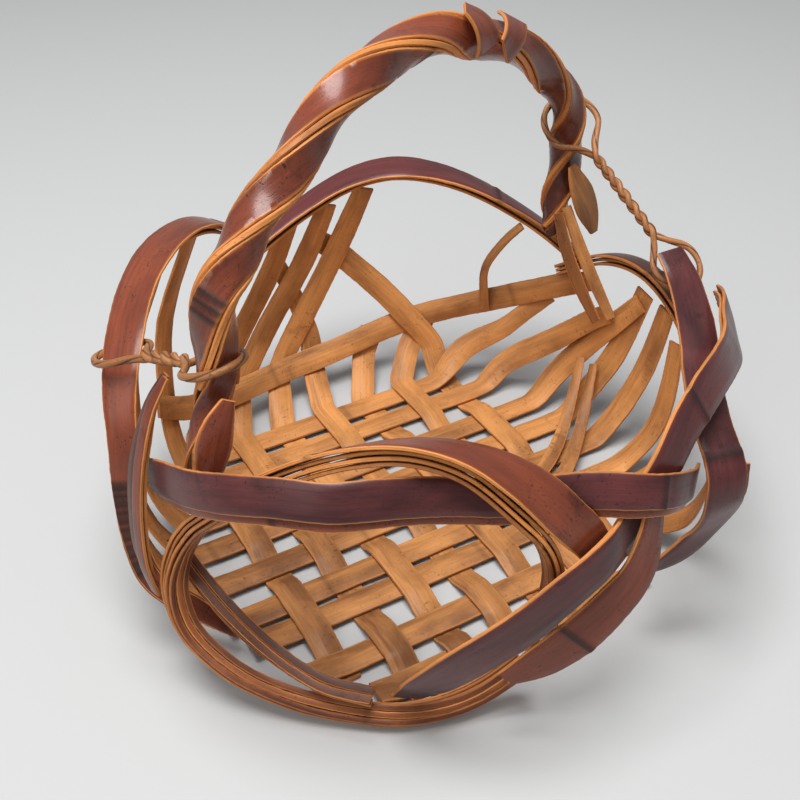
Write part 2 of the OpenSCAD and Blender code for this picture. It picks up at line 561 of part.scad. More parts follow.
// ---- rattan ties: one closed cord round both members, twisted on itself between them ----
module cord_loop(from, to, hold_from, hold_to, twists, up) {
    run = to - from;
    along = unit(run);
    level = unit(cross(along, up));
    over = cross(level, along);
    steps = 30;
    long = norm(run);
    // the two sides stay apart past each member, then close to the twist
    close_from = hold_from[1] * 0.7;
    close_to = hold_to[1] * 0.7;
    shut = rattan_d * 0.54;
    function part(d) = min(max(d / 10, 0), 1);
    function open(s) = let (a = part(s * long - close_from), b = part((1 - s) * long - close_to))
        shut + (1 - a) * (1 - a) * (hold_from[0] - shut) + (1 - b) * (1 - b) * (hold_to[0] - shut);
    first = (close_from + 8) / long;
    last = 1 - (close_to + 8) / long;
    function turn(s) = 90 + 180 * twists * min(max((s - first) / (last - first), 0), 1);
    function side_point(s, sign) =
        from + run * s + sign * open(s) * (level * sin(turn(s)) + over * cos(turn(s)));
    function cap(centre, hold, start, dir) = [for (k = [1 : 5])
        let (a = k * 30) centre + level * hold[0] * cos(a) * start + along * hold[1] * sin(a) * dir];
    there = [for (k = [0 : steps]) side_point(k / steps, 1)];
    back = [for (k = [steps : -1 : 0]) side_point(k / steps, -1)];
    far_sign = cos(180 * twists);
    loop = concat(there, cap(to, hold_to, far_sign, 1), back, cap(from, hold_from, -1, -1));
    count = len(loop);
    rings = [for (i = [0 : count - 1])
        let (
            t = unit(loop[(i + 1) % count] - loop[(i + count - 1) % count]),
            a = unit(up - (up * t) * t),
            b = cross(t, a)
        )
        for (k = [0 : 5]) loop[i] + rattan_d / 2 * (a * cos(k * 60) + b * sin(k * 60))];
    faces = [for (i = [0 : count - 1], k = [0 : 5])
        let (
            j = (i + 1) % count,
            a = i * 6 + k, b = i * 6 + (k + 1) % 6, c = j * 6 + k, d = j * 6 + (k + 1) % 6
        )
        each [[a, c, b], [b, c, d]]];
    polyhedron(points = rings, faces = faces);
}
module tie_left() {
    from = on_wall(147.8, 84.6, -2.9, 0, 0);
    color([0.68, 0.45, 0.26])
        cord_loop(xyz(from), from_handle(-0.85 * handle_half, 0, rim_z + 6),
            [9.1, 10.5], [9.5, 9], 3, [0, 0, 1]);
}
module tie_right() {
    to = on_wall(-20, 77, 2, 0, 0);
    color([0.68, 0.45, 0.26])
        cord_loop(from_handle(1.065 * handle_half, 0, rim_z + 0.22 * handle_rise), xyz(to),
            [11.5, 10.5], [9, 9], 4, [-0.35, 0.1, 0.93]);
}

floor_long_1();
floor_long_2();
floor_long_3();
floor_long_4();
floor_long_5();
floor_long_6();
floor_long_7();
floor_long_8();
floor_long_9();
wall_weaver();
floor_cross_1();
floor_cross_2();
floor_cross_3();
floor_cross_4();
floor_cross_5();
floor_cross_6();
floor_cross_7();
front_loop_1();
front_loop_2();
front_loop_3();
front_loop_4();
front_sweep_1();
front_sweep_2();
front_sweep_3();
front_band();
front_band_under();
left_loop_1();
left_loop_2();
left_loop_3();
left_leaf_1();
left_leaf_2();
back_loop_1();
back_loop_2();
back_loop_3();
right_back_loop_1();
right_back_loop_2();
right_back_loop_3();
right_outer();
right_outer_twin();
right_bulge();
right_bulge_twin();
right_lower();
handle_wrap_1();
handle_wrap_2();
handle_wrap_3();
handle_fin_1();
handle_fin_2();
handle_fin_3();
handle_end_1();
handle_end_2();
handle_foot_left();
handle_foot_right();
handle_brace_1();
handle_brace_2();
inner_brace_1();
inner_brace_2();
tendril();
tie_left();
tie_right();
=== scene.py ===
# Low round basket plaited from smoked bamboo strips, with looped bundles along the rim and a tall twisted
# handle. Each strip is lofted along the line of its own solid: a crowned skin, split edges and a flat
# inner face. Lengths are in millimetres, and a mesh is made in metres.
import bpy
import bmesh
import math
import random
import numpy as np
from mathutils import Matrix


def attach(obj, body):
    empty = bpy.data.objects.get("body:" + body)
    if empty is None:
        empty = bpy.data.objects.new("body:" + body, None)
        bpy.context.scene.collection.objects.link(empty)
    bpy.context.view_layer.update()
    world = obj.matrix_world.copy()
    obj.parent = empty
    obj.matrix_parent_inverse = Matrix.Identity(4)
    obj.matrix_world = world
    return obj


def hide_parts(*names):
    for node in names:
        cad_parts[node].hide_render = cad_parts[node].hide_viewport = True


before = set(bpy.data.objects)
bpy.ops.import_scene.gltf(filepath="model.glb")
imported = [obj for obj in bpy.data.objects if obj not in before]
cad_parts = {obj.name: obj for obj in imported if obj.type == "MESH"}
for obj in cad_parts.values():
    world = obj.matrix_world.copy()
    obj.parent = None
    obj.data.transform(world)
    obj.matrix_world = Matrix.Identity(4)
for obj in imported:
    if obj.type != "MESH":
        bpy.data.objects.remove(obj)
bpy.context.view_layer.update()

# ---- Floor: long strips ----
# Split bamboo laid in rows, its pale inner face up, and held by the plaiting alone. All but the first row
# climb the wall at the right, and four of them at the left too. The bowl's form, the strip's section and
# the bamboo's finish are made here, and every later strip uses them.
FLOOR_R, WALL_R, MOUTH_R = 86, 113, 94
BELLY_Z, RIM_Z = 65, 112
STRIP_T, FLOOR_W = 1.3, 10.5
# from the middle of one strip to the middle of the next, where one lies on the other
LAYER = 1.7
LONG_Z = STRIP_T / 2 + LAYER
PLAIT_TURN = math.radians(-15)


def unit(v):
    v = np.asarray(v, float)
    return v / max(np.linalg.norm(v), 1e-9)


def clamp(v):
    return min(1, max(0, v))


def curve(a, b, c, d, t):
    """A point between b and c on the smooth curve through a, b, c and d."""
    return 0.5 * (2 * b + (c - a) * t + (2 * a - 5 * b + 4 * c - d) * t * t
                  + (3 * b - a - 3 * c + d) * t ** 3)


def path(keys):
    """A smooth line. A key holds x, y, z, tilt in degrees, width and the steps to the next key."""
    keys = [np.array(k, float) for k in keys]
    last = len(keys) - 1
    line = []
    for i in range(last):
        a, b, c, d = keys[max(i - 1, 0)], keys[i], keys[i + 1], keys[min(i + 2, last)]
        steps = int(b[5])
        line += [b if steps == 1 else curve(a, b, c, d, s / steps) for s in range(steps)]
    return line + [keys[last]]


def tangent(points, i):
    return unit(points[min(i + 1, len(points) - 1)] - points[max(i - 1, 0)])


def wall_radius(z):
    """The bowl's radius: it swells from the floor to the belly and draws in to the mouth."""
    if z < BELLY_Z:
        return FLOOR_R + (WALL_R - FLOOR_R) * math.sqrt(max(0, 1 - (1 - max(z, 0) / BELLY_Z) ** 2))
    return WALL_R - (WALL_R - MOUTH_R) * ((z - BELLY_Z) / (RIM_Z - BELLY_Z)) ** 2


def outward(p):
    """The direction square to the bowl at a point, away from the inside."""
    foot_ease = 4
    r = max(math.hypot(p[0], p[1]), 0.01)
    if p[2] < BELLY_Z:
        past = max(0, r - FLOOR_R - foot_ease * (WALL_R - r) / (WALL_R - FLOOR_R)) / (WALL_R - FLOOR_R) ** 2
        return unit([p[0] / r * past, p[1] / r * past, -(BELLY_Z - p[2]) / BELLY_Z ** 2])
    lean = 2 * (WALL_R - MOUTH_R) * (p[2] - BELLY_Z) / (RIM_Z - BELLY_Z) ** 2
    return unit([p[0] / r, p[1] / r, lean])


def on_wall(angle, height, out, tilt, w, steps=4):
    """A key beside the wall. Its height is in hundredths of the rim's."""
    z = RIM_Z * height / 100
    r = wall_radius(z) + out
    a = math.radians(angle)
    return [r * math.cos(a), r * math.sin(a), z, tilt, w, steps]


def plait_key(q, layers, w, steps):
    """A key in the plaited shell, a number of layers inside the long rows."""
    p = np.array(q, float) - outward(q) * (LONG_Z + layers * LAYER)
    return [p[0], p[1], p[2], 0, w, steps]


def on_floor(u, v, layers, w=FLOOR_W, steps=1):
    """A key in the floor: u runs along the long rows and v across them."""
    x = u * math.cos(PLAIT_TURN) - v * math.sin(PLAIT_TURN)
    y = u * math.sin(PLAIT_TURN) + v * math.cos(PLAIT_TURN)
    r = math.hypot(x, y)
    rise = 0
    if r > FLOOR_R:
        rise = BELLY_Z * (1 - math.sqrt(1 - ((r - FLOOR_R) / (WALL_R - FLOOR_R)) ** 2))
    return plait_key([x, y, rise], layers, w, steps)


def on_side(angle, height, layers, w=FLOOR_W, steps=3):
    """A key where a floor strip runs on up the wall."""
    z = RIM_Z * height / 100
    r = wall_radius(z)
    a = math.radians(angle)
    return plait_key([r * math.cos(a), r * math.sin(a), z], layers, w, steps)


def strip_line(keys, depth=0, side=0, width=0):
    """Middle line, face normals and widths of a strip that follows the bowl."""
    line = path(keys)
    mid = [k[:3] for k in line]
    normals, moved = [], []
    for i, k in enumerate(line):
        t = tangent(mid, i)
        o = outward(mid[i])
        n = unit(o - o.dot(t) * t)
        tilt = math.radians(k[3])
        normals.append(n * math.cos(tilt) + np.cross(t, n) * math.sin(tilt))
        moved.append(mid[i] + normals[i] * depth + np.cross(t, normals[i]) * side)
    widths = [min(width, k[4]) if width else k[4] for k in line]
    return moved, normals, widths


def even(line, gap, softness):
    """The same line at even spacing, with its corners softened."""
    fewest = 10
    points, normals, widths = line
    points = np.array(points)
    run = np.concatenate([[0], np.cumsum(np.linalg.norm(np.diff(points, axis=0), axis=1))])
    at = np.linspace(0, run[-1], max(fewest, int(run[-1] / gap)))
    rows = np.column_stack([points, np.array(normals), np.array(widths)])
    rows = np.column_stack([np.interp(at, run, column) for column in rows.T])
    for _ in range(softness):
        rows[1:-1] = (rows[:-2] + 2 * rows[1:-1] + rows[2:]) / 4
    return at, rows


def wander(dice, at, wave, size):
    """A slow, irregular drift along a strip, of three waves that hardly repeat."""
    waves, peak = (1, 2.3, 4.1), 1.6
    total = np.zeros(len(at))
    for k in waves:
        total += np.sin(at / wave * k * 2 * math.pi + dice.uniform(0, 6.28)) / k
    return total * size / peak


def add(tree, kind, values=(), **settings):
    """A shader node; a value that is a socket is linked, any other is set."""
    n = tree.nodes.new(kind)
    for key, value in settings.items():
        setattr(n, key, value)
    for key, value in dict(values).items():
        if isinstance(value, bpy.types.NodeSocket):
            tree.links.new(value, n.inputs[key])
        else:
            n.inputs[key].default_value = value
    return n


def mixed(tree, factor, a, b, kind="MIX"):
    """Two colours, each a socket or three numbers, mixed."""
    m = add(tree, "ShaderNodeMix", {"Factor": factor}, data_type="RGBA", blend_type=kind)
    for place, value in ((6, a), (7, b)):
        if isinstance(value, bpy.types.NodeSocket):
            tree.links.new(value, m.inputs[place])
        else:
            m.inputs[place].default_value = (*value, 1)
    return m.outputs[2]


def level(tree, value, low, high, to_low=0.0, to_high=1.0):
    return add(tree, "ShaderNodeMapRange", {"Value": value, "From Min": low, "From Max": high,
                                            "To Min": to_low, "To Max": to_high}).outputs[0]


def maths(tree, kind, a, b):
    return add(tree, "ShaderNodeMath", {0: a, 1: b}, operation=kind).outputs[0]


def bamboo(name, light, dark, wear_and_shade_colour, rough, coat=0.0, streaks=0.5, specks=0.5, wear_and_shade=0.6, bump=0.25,
           wear_and_shade_from=0.8, char=0.7):
    """Bamboo with grain along the strip, dark specks, rubbed edges and blackened joints; on the rattan the
    edge colour is painted shade in the crease between its strands.

    The tone attribute says how near a point is to the strip's edge (on the rattan, to the crease between
    its strands) and to a joint, and how light the strip is of itself.
    """
    soot, burnt = (0.012, 0.008, 0.008), (0.010, 0.007, 0.007)
    coat_rough, shine = 0.16, 0.3
    material = bpy.data.materials.new(name)
    material.use_nodes = True
    tree = material.node_tree
    shader = tree.nodes["Principled BSDF"]
    along = add(tree, "ShaderNodeUVMap", uv_map="along").outputs[0]
    tone = add(tree, "ShaderNodeAttribute", attribute_name="tone")
    split = add(tree, "ShaderNodeSeparateColor", {0: tone.outputs["Color"]})
    near_edge, joint, own = split.outputs[0], split.outputs[1], split.outputs[2]

    def noise(x, y, detail, rough_part=0.55, twist=0.0):
        """Noise with its own scale along the strip and across it."""
        place = add(tree, "ShaderNodeMapping", {"Vector": along, "Scale": (x, y, 1)})
        values = {"Vector": place.outputs[0], "Scale": 1, "Detail": detail, "Roughness": rough_part,
                  "Distortion": twist}
        return add(tree, "ShaderNodeTexNoise", values).outputs[0]

    fine = noise(45, 2600, 3)
    fibre = noise(14, 800, 4, 0.6)
    broad = noise(26, 90, 4, 0.6, 0.4)
    patch = noise(60, 75, 5, 0.65, 0.8)
    dots = noise(900, 1500, 2, 0.4)

    # the shade drifts round the strip's own tone, and fibres and finer lines streak it
    shade = maths(tree, "ADD", level(tree, broad, 0.3, 0.7), level(tree, own, 0, 1, -0.4, 0.4))
    colour = mixed(tree, add(tree, "ShaderNodeClamp", {0: shade}).outputs[0], dark, light)
    grain = mixed(tree, fibre, (0.42, 0.42, 0.42), (1.5, 1.5, 1.5))
    colour = mixed(tree, streaks, colour, grain, "MULTIPLY")
    thin = mixed(tree, fine, (0.5, 0.5, 0.5), (1.45, 1.45, 1.45))
    colour = mixed(tree, streaks * 0.8, colour, thin, "MULTIPLY")

    # specks of soot gather in patches, with brown smudges between them
    spots = maths(tree, "MULTIPLY", level(tree, dots, 0.62, 0.68), level(tree, patch, 0.42, 0.6))
    colour = mixed(tree, maths(tree, "MULTIPLY", spots, specks), colour, soot)
    smudge = maths(tree, "MULTIPLY", level(tree, patch, 0.58, 0.72), specks * 0.7)
    colour = mixed(tree, smudge, colour, tuple(c * 0.35 for c in dark))

    # the edges are rubbed through to the pale wood, and the joints are burnt; on the rattan the same mask
    # paints shade nearly black into the crease between its strands
    rim = level(tree, near_edge, wear_and_shade_from, min(1.0, wear_and_shade_from + 0.2))
    rim = maths(tree, "MULTIPLY", rim, level(tree, fibre, 0.35, 0.6, 0.35, 1.0))
    colour = mixed(tree, maths(tree, "MULTIPLY", rim, wear_and_shade), colour, wear_and_shade_colour)
    colour = mixed(tree, maths(tree, "MULTIPLY", joint, char), colour, burnt)
    tree.links.new(colour, shader.inputs["Base Color"])

    # burnt joints are duller than the skin
    roughness = level(tree, maths(tree, "ADD", fibre, patch), 0.6, 1.4, rough - 0.08, rough + 0.14)
    roughness = maths(tree, "ADD", roughness, maths(tree, "MULTIPLY", joint, 0.25))
    tree.links.new(roughness, shader.inputs["Roughness"])
    shader.inputs["Coat Weight"].default_value = coat
    shader.inputs["Coat Roughness"].default_value = coat_rough
    shader.inputs["Specular IOR Level"].default_value = shine
    height = maths(tree, "ADD", maths(tree, "MULTIPLY", fibre, 0.7), maths(tree, "MULTIPLY", fine, 0.4))
    height = maths(tree, "SUBTRACT", height, maths(tree, "MULTIPLY", spots, 0.6))
    dent = add(tree, "ShaderNodeBump", {"Height": height, "Strength": bump, "Distance": 0.0006})
    tree.links.new(dent.outputs[0], shader.inputs["Normal"])
    return material


def near(place, marks, width):
    """1 at a mark along the strip, falling to 0 beside it."""
    return max([math.exp(-((place - mark) / width) ** 2) for mark in marks] + [0])


def strip_section(left, right, corner, h, crown):
    """Points round a strip: the skin from left to right, the split edge, the inner face, the other edge."""
    bevel, foot, hollow, dish = 0.28, 0.25, 0.05, 0.04
    corner_z, shoulder_z, shoulder = h - crown * 0.6, h - crown * 0.15, 0.55
    return [(left - corner, corner_z), (left * shoulder, shoulder_z), (0, h),
            (-right * shoulder, shoulder_z), (-right + corner, corner_z),
            (-right, h - crown - bevel), (-right + hollow, 0), (-right, -h + foot),
            (-right + corner, -h), (0, -h + dish), (left - corner, -h),
            (left, -h + foot), (left - hollow, 0), (left, h - crown - bevel)]


SKIN_POINTS = 5
# the material of the face from each point of the section to the next: 0 skin, 1 split edge, 2 inner face
SECTION_PARTS = [0, 0, 0, 0, 1, 1, 1, 1, 2, 2, 1, 1, 1, 1]


def loft(bm, line, dice, lane, lanes, joints=(), torn=(0.5, 0.5), crown=0.14, gap=1.2, softness=4,
         thick=STRIP_T, tint=None, deepen=0, faded=0):
    """Adds one strip, or one of the lanes that a strip is split into lengthwise, to a mesh.

    Joints are places along it, from its far end where negative, and torn says how ragged its two ends
    are. Its own tone is tint. Past a share of its length, deepen, it is painted darker as painted
    shade, and a share of its tone, faded, gives way to painted shade by how far back in the
    basket a point lies, darker at the front and lighter at the back.
    """
    swell_wave, swell_size, stray_wave, stray_size, fray_size = 46, 0.025, 60, 0.12, 0.07
    lane_gap = 0.13 if lanes > 1 else 0
    joint_w, joint_rise, dip_at, dip_w, dip_depth = 1.3, 0.4, 2.6, 1.2, 0.12
    corner_most, corner_share, edge_from, edge_step = 0.28, 0.3, 0.9, 0.4
    deepen_over, basket_depth = 0.2, 150
    at, rows = even(line, gap, softness)
    points, faces, widths = rows[:, :3], rows[:, 3:6], rows[:, 6]
    last = len(at) - 1
    swell = wander(dice, at, swell_wave, swell_size)
    stray = wander(dice, at, stray_wave, stray_size if lanes > 1 else 0)
    fray = [np.array([dice.uniform(-1, 1) for _ in at]) * fray_size for _ in range(2)]
    own = dice.random() if tint is None else tint
    start = dice.uniform(0, 4)
    tone = bm.verts.layers.float_color["tone"]
    joints = [j if j > 0 else at[-1] + j for j in joints]
    rings, across = [], []
    for i in range(last + 1):
        t = tangent(points, i)
        n = unit(faces[i] - faces[i].dot(t) * t)
        w = np.cross(t, n)
        half = widths[i] / 2 / lanes * (1 + swell[i]) - lane_gap
        middle = points[i] + w * (widths[i] * ((lane + 0.5) / lanes - 0.5) + stray[i]) + n * stray[i]
        joint = near(at[i], joints, joint_w)
        ridge = joint_rise * joint - dip_depth * near(at[i] - dip_at, joints, dip_w)
        # painted shade: past a share of its length the strip's tone falls away to its darkest
        shade_along = clamp((at[i] / at[-1] - deepen) / deepen_over) * own if deepen else 0
        # painted shade: the tone gives way to how far back in the basket the point lies, darker at the
        # front and lighter at the back
        far = clamp(0.5 + (points[i][0] + points[i][1]) / basket_depth)
        own_here = own * (1 - faded) + far * faded - shade_along
        end = torn[0] if i == 0 else torn[1] if i == last else 0
        slant = dice.uniform(-0.5, 0.5) * end
        corner = min(corner_most, half * corner_share)
        section = strip_section(half + fray[0][i], half + fray[1][i], corner, thick / 2, crown)
        ring = []
        for k, (x, y) in enumerate(section):
            if k < SKIN_POINTS:
                y += ridge
            pull = slant * x / max(half, 0.1) + (dice.uniform(-1, 1) * end if end > 1 else 0)
            v = bm.verts.new((middle + w * x + n * y + t * pull) / 1000)
            v[tone] = (min(1, abs(x) / max(half, 0.1)), joint, own_here, 1)
            ring.append(v)
        rings.append(ring)
        # on the steep edges the grain still moves on from point to point
        across.append([x + (edge_step * k if abs(x) > half * edge_from else 0)
                       for k, (x, _) in enumerate(section)])
    skin_over(bm, rings, at, across, start)


def skin_over(bm, rings, at, across, start):
    """Faces from ring to ring and over both ends, with the grain's UV map: along the strip, then across."""
    closing_step, part_shift, end_scale, inner_shift, inner_from = 0.3, 0.05, 0.0012, 0.002, 6
    grain = bm.loops.layers.uv["along"]
    size = len(SECTION_PARTS)
    for i in range(len(rings) - 1):
        for k, part in enumerate(SECTION_PARTS):
            m = (k + 1) % size
            f = bm.faces.new((rings[i][k], rings[i][m], rings[i + 1][m], rings[i + 1][k]))
            f.material_index = part
            f.smooth = True
            marks = ((i, k), (i, m), (i + 1, m), (i + 1, k))
            for corner, (row, column) in zip(f.loops, marks):
                # the last face closes the ring, so its far side doesn't jump back to the first point
                closing = m == 0 and column == 0
                place = across[row][k] + closing_step if closing else across[row][column]
                corner[grain].uv = (start + at[row] / 1000, start + place / 1000 + part * part_shift)
    last = len(rings) - 1
    for row, ring in ((0, rings[0][::-1]), (last, rings[last])):
        f = bm.faces.new(ring)
        f.material_index = 1
        for corner in f.loops:
            column = rings[row].index(corner.vert)
            corner[grain].uv = (start + across[row][column] * end_scale,
                                start + inner_shift * (column > inner_from))
        bmesh.ops.triangulate(bm, faces=[f])


def new_mesh(name, bm, materials):
    bmesh.ops.recalc_face_normals(bm, faces=bm.faces)
    mesh = bpy.data.meshes.new(name)
    bm.to_mesh(mesh)
    bm.free()
    for material in materials:
        mesh.materials.append(material)
    return mesh


def into_basket(name, mesh):
    """Puts a mesh in the place of the solid of the same name."""
    piece = bpy.data.objects.new(name, mesh)
    bpy.context.scene.collection.objects.link(piece)
    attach(piece, "root")
    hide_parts(name)


def strip_piece(name, line, finish, slot, lanes=1, **form):
    """One strip, split lengthwise into lanes. finish is its skin, split edges and inner face."""
    dice = random.Random(name)
    bm = bmesh.new()
    bm.loops.layers.uv.new("along")
    bm.verts.layers.float_color.new("tone")
    for lane in range(lanes):
        loft(bm, line, dice, lane, lanes, **form)
    mesh = new_mesh(name, bm, finish)
    mesh.set_sharp_from_angle(angle=math.radians(50))
    into_basket(name, mesh)


SMOKED, SPLIT, PALE = "bamboo_smoked_skin", "bamboo_split_edge", "bamboo_inner_face"
inner = bamboo("inner_face", (0.72, 0.315, 0.096), (0.23, 0.090, 0.031), (0.70, 0.35, 0.13), 0.52,
               coat=0.05, streaks=0.6, specks=0.45, wear_and_shade=0.35, bump=0.3, char=0.35)
edge = bamboo("split_edge", (0.70, 0.255, 0.064), (0.27, 0.080, 0.024), (0.78, 0.35, 0.10), 0.48,
              streaks=0.85, specks=0.3, wear_and_shade=0.3, bump=0.5, char=0.4)
skin_brown = bamboo("smoked_skin_brown", (0.165, 0.052, 0.022), (0.058, 0.018, 0.011), (0.46, 0.18, 0.06),
                    0.38, coat=0.08, streaks=0.5, specks=0.9, wear_and_shade=0.55, bump=0.16)
# the smooth skin is underneath, so the inner face is the one that shows
pale_strip = (skin_brown, edge, inner)
# the floor strips carry painted shade, darker towards the front of the basket and lighter towards the back
FLOOR_CROWN, FLOOR_SHADE_BY_DEPTH = 0.1, 0.7

ROWS = [share * FLOOR_R for share in (-0.826, -0.616, -0.36, -0.209, 0.012, 0.233, 0.419, 0.663, 0.826)]
ROW_JOINTS = [60, 150, 95, 40, 175, 120, 205, 70, 60]
FLOOR_END_R = FLOOR_R + 5
END_IN, KEY_CLEAR, KEY_SPAN, KEY_STEP = 2, 6, 80, 10
# the first rows run on a little at the left, and the last one rises over the cross strips at the right
LEFT_EXTRA, LEFT_EXTRA_ROWS, LAST_ROW_RISES = 2.4, 4, 1.2
right_ends = {
    2: [on_side(-56, 14, 0), on_side(-60, 28, 1), on_side(-64, 42, 2, 9)],
    3: [on_side(-37, 14, 0), on_side(-37, 28, 0), on_side(-36, 44, 0, 9)],
    4: [on_side(-27, 14, 0), on_side(-26, 30, 0), on_side(-24, 50, 0, 9)],
    5: [on_side(-15, 14, 0), on_side(-17, 34, 0), on_side(-19, 59, 0, 9)],
    6: [on_side(-4, 12, 0), on_side(-8, 32, 0), on_side(-12, 60, 0, 9)],
    7: [on_side(6, 12, 0), on_side(0, 28, 0.5), on_side(-7, 44, 1.3, 9), on_side(-12, 56, 1.3, 8)],
    8: [on_side(20, 10, 0), on_side(9, 24, 0.8), on_side(0, 39, 2.4, 9), on_side(-5, 46, 2.6, 8)],
    9: [on_side(32, 12, 0), on_side(23, 22, 0, 9), on_side(18.5, 30, -0.6, 8), on_side(13, 40, -1.8, 7)],
}
left_ends = {
    5: [on_side(137, 84.6, 0, 9), on_side(147, 56, 0), on_side(156, 30, 0), on_side(161, 14, 0)],
    6: [on_side(127, 88.4, 0, 9), on_side(135, 57, 0), on_side(143, 32, 0), on_side(149, 14, 0)],
    7: [on_side(116, 90, 0, 9), on_side(124, 57, 0), on_side(132, 32, 0), on_side(138, 14, 0)],
    8: [on_side(105, 88.1, 0, 9), on_side(110.5, 57, 0), on_side(116, 32, 0), on_side(121, 14, 0)],
}
for i, v in enumerate(ROWS):
    reach = math.sqrt(FLOOR_END_R ** 2 - v * v)
    left_end_r = FLOOR_END_R + (LEFT_EXTRA if i < LEFT_EXTRA_ROWS else 0)
    left_reach = math.sqrt(left_end_r ** 2 - v * v)
    rises = LAST_ROW_RISES if i == len(ROWS) - 1 else 0
    right = right_ends.get(i + 1, [])
    keys = left_ends.get(i + 1, []) + [on_floor(END_IN - left_reach, v, 0)]
    keys += [on_floor(u, v, 0) for u in range(-KEY_SPAN, KEY_SPAN + 1, KEY_STEP)
             if abs(u) < reach - KEY_CLEAR]
    keys += [on_floor(reach - END_IN, v, rises, steps=3 if right else 1)] + right
    strip_piece(f"floor_long_{i + 1}", strip_line(keys), pale_strip, PALE, joints=[ROW_JOINTS[i]],
                crown=FLOOR_CROWN, faded=FLOOR_SHADE_BY_DEPTH)

# ---- Floor: cross strips ----
# Split bamboo woven over one group of rows and under the next, its pale inner face up. Beyond the last row
# five of them climb the back wall behind the loop, and two end behind the weaver.
COLUMNS = [share * FLOOR_R for share in (-0.733, -0.5, -0.267, -0.035, 0.198, 0.43, 0.663)]
COLUMN_JOINTS = [115, 50, 140, 90, 30, 120, 65]
GROUPS = [(0, 0), (1, 1), (2, 3), (4, 4), (5, 6), (7, 8)]
# a strip changes side in the gap between two groups, a little clear of the rows' edges
ROW_CLEAR, STEP_LENGTH, LAST_COLUMN_SINKS = 1.3, 7, 0.32
back_walls = [
    [on_side(106, 12, -0.5), on_side(93, 28, -0.2), on_side(81, 50, 0), on_side(75, 72.7, 0, 9)],
    [on_side(95, 12, -0.4), on_side(83, 30, 0), on_side(72, 52, 0), on_side(66, 78.6, 0, 9)],
    [on_side(83, 11, -0.4), on_side(73, 30, 0), on_side(64, 54, 0), on_side(57.5, 84.9, 0, 9)],
    [on_side(73, 10, -0.6), on_side(72, 22, -1.1, 9), on_side(75, 42, -1.2, 8), on_side(78, 56, -1.2, 7)],
    [on_side(59, 9, -0.6), on_side(57.5, 14, -0.9), on_side(56, 19, -1.2)],
    [on_side(47, 10, 0), on_side(44.5, 17, -1.2), on_side(42.5, 24, -2.3)],
    [on_side(40.5, 12, -1.1), on_side(47, 24, 0.85), on_side(54, 37, 0), on_side(63, 53, -1.4),
     on_side(68, 61, -1.4, 9)],
]
for j, u in enumerate(COLUMNS):
    limit = math.sqrt(FLOOR_END_R ** 2 - u * u)
    keys = []
    for g, (first, last) in enumerate(GROUPS):
        low = ROWS[first] - FLOOR_W / 2 - ROW_CLEAR
        high = ROWS[last] + FLOOR_W / 2 + ROW_CLEAR
        over = 1 if (g + j) % 2 == 0 else -1
        parts = math.ceil((high - low) / STEP_LENGTH)
        # the last strip starts to sink before it leaves the last group
        sinks = LAST_COLUMN_SINKS if g == len(GROUPS) - 1 and j == len(COLUMNS) - 1 else 0
        # the strip starts with the first group inside the floor's edge
        if low > -limit + 1:
            keys += [on_floor(u, low + (high - low) * k / parts, over - max(0, k - parts + 2) * sinks)
                     for k in range(parts + 1)]
    strip_piece(f"floor_cross_{j + 1}", strip_line(keys + back_walls[j]), pale_strip, PALE,
                joints=[COLUMN_JOINTS[j]], crown=FLOOR_CROWN, softness=3, faded=FLOOR_SHADE_BY_DEPTH)

# ---- Wall weaver ----
# A broad strip of split bamboo with its pale face inwards, bent round the back of the wall just above the
# floor. It passes over and under the strips that climb there, and holds them apart.
# its tone is partly painted shade, darker towards the front of the basket and lighter towards the back
strip_piece("wall_weaver", strip_line([
    on_side(122, 32, 1.3, 9), on_side(112, 20, 1.3), on_side(98, 13, 1.5), on_side(82, 11.5, 1.5),
    on_side(66, 13.5, 1.3), on_side(53, 19, 0), on_side(41, 25, -1), on_side(24, 35, -0.6),
    on_side(10, 47, 0), on_side(2, 54, 0, 8)]), pale_strip, PALE, joints=[70, 190], faded=0.5)

# ---- Front loop ----
# Smoked bamboo bent on edge into one large ring: a broad red strip that turns flat where it comes down in
# front, and three narrow splints behind it, each split again into three. The weave holds their ends.
RIM_W, BUNDLE_W = 15, 7
skin_red = bamboo("smoked_skin_red", (0.235, 0.056, 0.026), (0.098, 0.023, 0.014), (0.46, 0.16, 0.045),
                  0.32, coat=0.10, streaks=0.45, specks=0.9, wear_and_shade=0.6, bump=0.12, wear_and_shade_from=0.86, char=0.92)
rim_face = bamboo("rim_splint_face", (0.33, 0.102, 0.032), (0.11, 0.030, 0.014), (0.60, 0.22, 0.06), 0.42,
                  coat=0.05, streaks=0.8, specks=0.6, wear_and_shade=0.9, bump=0.35, wear_and_shade_from=0.6, char=0.3)
inner_dark = bamboo("inner_face_shaded", (0.34, 0.122, 0.034), (0.12, 0.042, 0.016), (0.48, 0.19, 0.06),
                    0.58, streaks=0.6, specks=0.8, wear_and_shade=0.5, bump=0.3, char=0.4)
red_strip = (skin_red, edge, inner_dark)
brown_strip = (skin_brown, edge, inner_dark)
splint = (skin_brown, edge, rim_face)


def bundle_splints(group, keys, sides, joints, lanes=1):
    """The narrow splints of a rim bundle, one behind the other under its broad strip."""
    for i, (side, marks) in enumerate(zip(sides, joints)):
        line = strip_line(keys, -(i + 1) * LAYER, side, BUNDLE_W)
        strip_piece(f"{group}_{i + 2}", line, splint, SPLIT, joints=marks, lanes=lanes)


